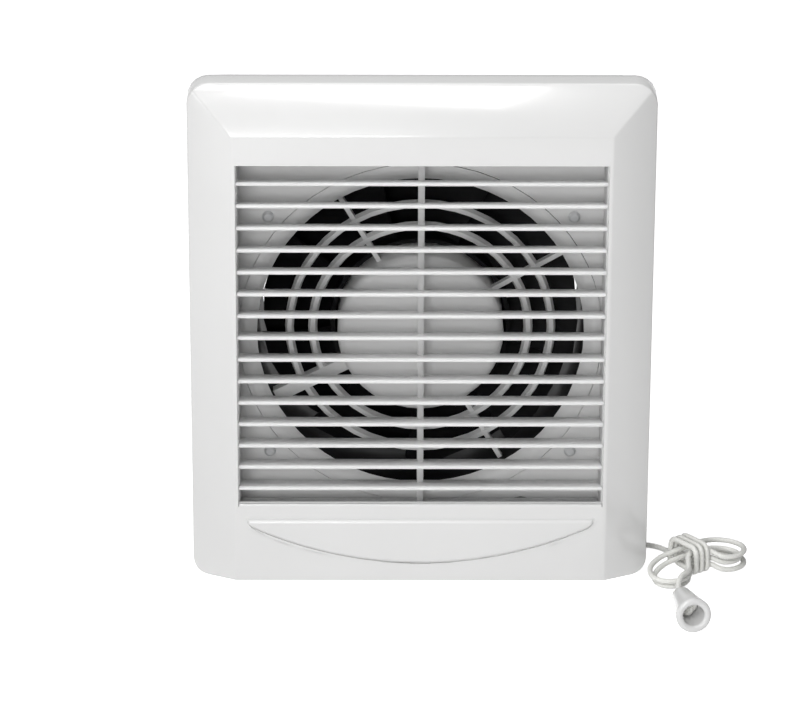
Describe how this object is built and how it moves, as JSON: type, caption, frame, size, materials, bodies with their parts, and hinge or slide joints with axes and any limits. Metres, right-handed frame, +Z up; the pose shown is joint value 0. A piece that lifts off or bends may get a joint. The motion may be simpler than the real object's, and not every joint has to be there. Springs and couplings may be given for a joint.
{
  "type": "bathroom exhaust fan",
  "caption": "Wall exhaust fan: bevelled square cover with louvre grille and lens-shaped badge, round duct spigot with motor and impeller behind it, pull-cord switch with hanked cord.",
  "frame": {"origin": "middle of the fan's footprint, on the surface that it stands on, without the pull cord", "axes": "+X to the right as seen from the front, +Y back towards the wall and the duct, +Z up"},
  "size_m": [0.2623, 0.167, 0.244],
  "materials": {
    "white_abs": "glossy moulded ABS",
    "inner_abs": "satin moulded ABS",
    "impeller_black": "satin black moulded plastic",
    "steel": "zinc-plated steel",
    "laminated_steel": "stacked electrical steel sheet",
    "coil_tape": "taped copper winding",
    "bearing_bronze": "sintered bronze bush",
    "nylon": "natural nylon",
    "cord": "twisted nylon cord",
    "grey_rubber": "matt flexible insulation"
  },
  "bodies": {
    "housing": {"base_housing": "inner_abs", "fan_tube": "inner_abs", "motor_guard": "inner_abs", "tube_screw_1": "steel", "tube_screw_2": "steel", "tube_screw_3": "steel", "tube_screw_4": "steel", "motor_stator": "laminated_steel", "motor_coil": "coil_tape", "motor_bridge_front": "steel", "motor_bridge_rear": "steel", "bearing_front": "bearing_bronze", "bearing_rear": "bearing_bronze", "motor_screw_left": "steel", "motor_screw_right": "steel", "switch_body": "nylon", "switch_spring": "steel", "cord_eyelet": "nylon", "terminal_block": "nylon", "cable_grommet": "grey_rubber", "motor_lead": "grey_rubber", "switch_lead": "grey_rubber", "cord_lead": "cord", "cord_hank": "cord", "hank_tie": "cord", "cord_tail": "cord", "cord_pull": "white_abs"},
    "cover": {"front_cover": "white_abs", "louvre_grille": "white_abs", "badge_plate": "white_abs"},
    "rotor": {"impeller": "impeller_black", "impeller_nut": "steel", "motor_shaft": "steel", "motor_rotor": "laminated_steel"},
    "plunger": {"switch_plunger": "nylon", "cord_stub": "cord"}
  },
  "joints": [
    {"name": "cover_release", "type": "slide", "parent": "housing", "child": "cover", "axis": [0, -1, 0], "range_m": [0, 0.06]},
    {"name": "fan_spin", "type": "hinge", "parent": "housing", "child": "rotor", "pos_m": [0, 0.0275, 0.1119], "axis": [0, 1, 0], "continuous": true},
    {"name": "pull_switch", "type": "slide", "parent": "housing", "child": "plunger", "axis": [0, 0, -1], "range_m": [0, 0.006], "stiffness_N_per_m": 600, "deforming": ["switch_spring", "cord_lead"]}
  ]
}
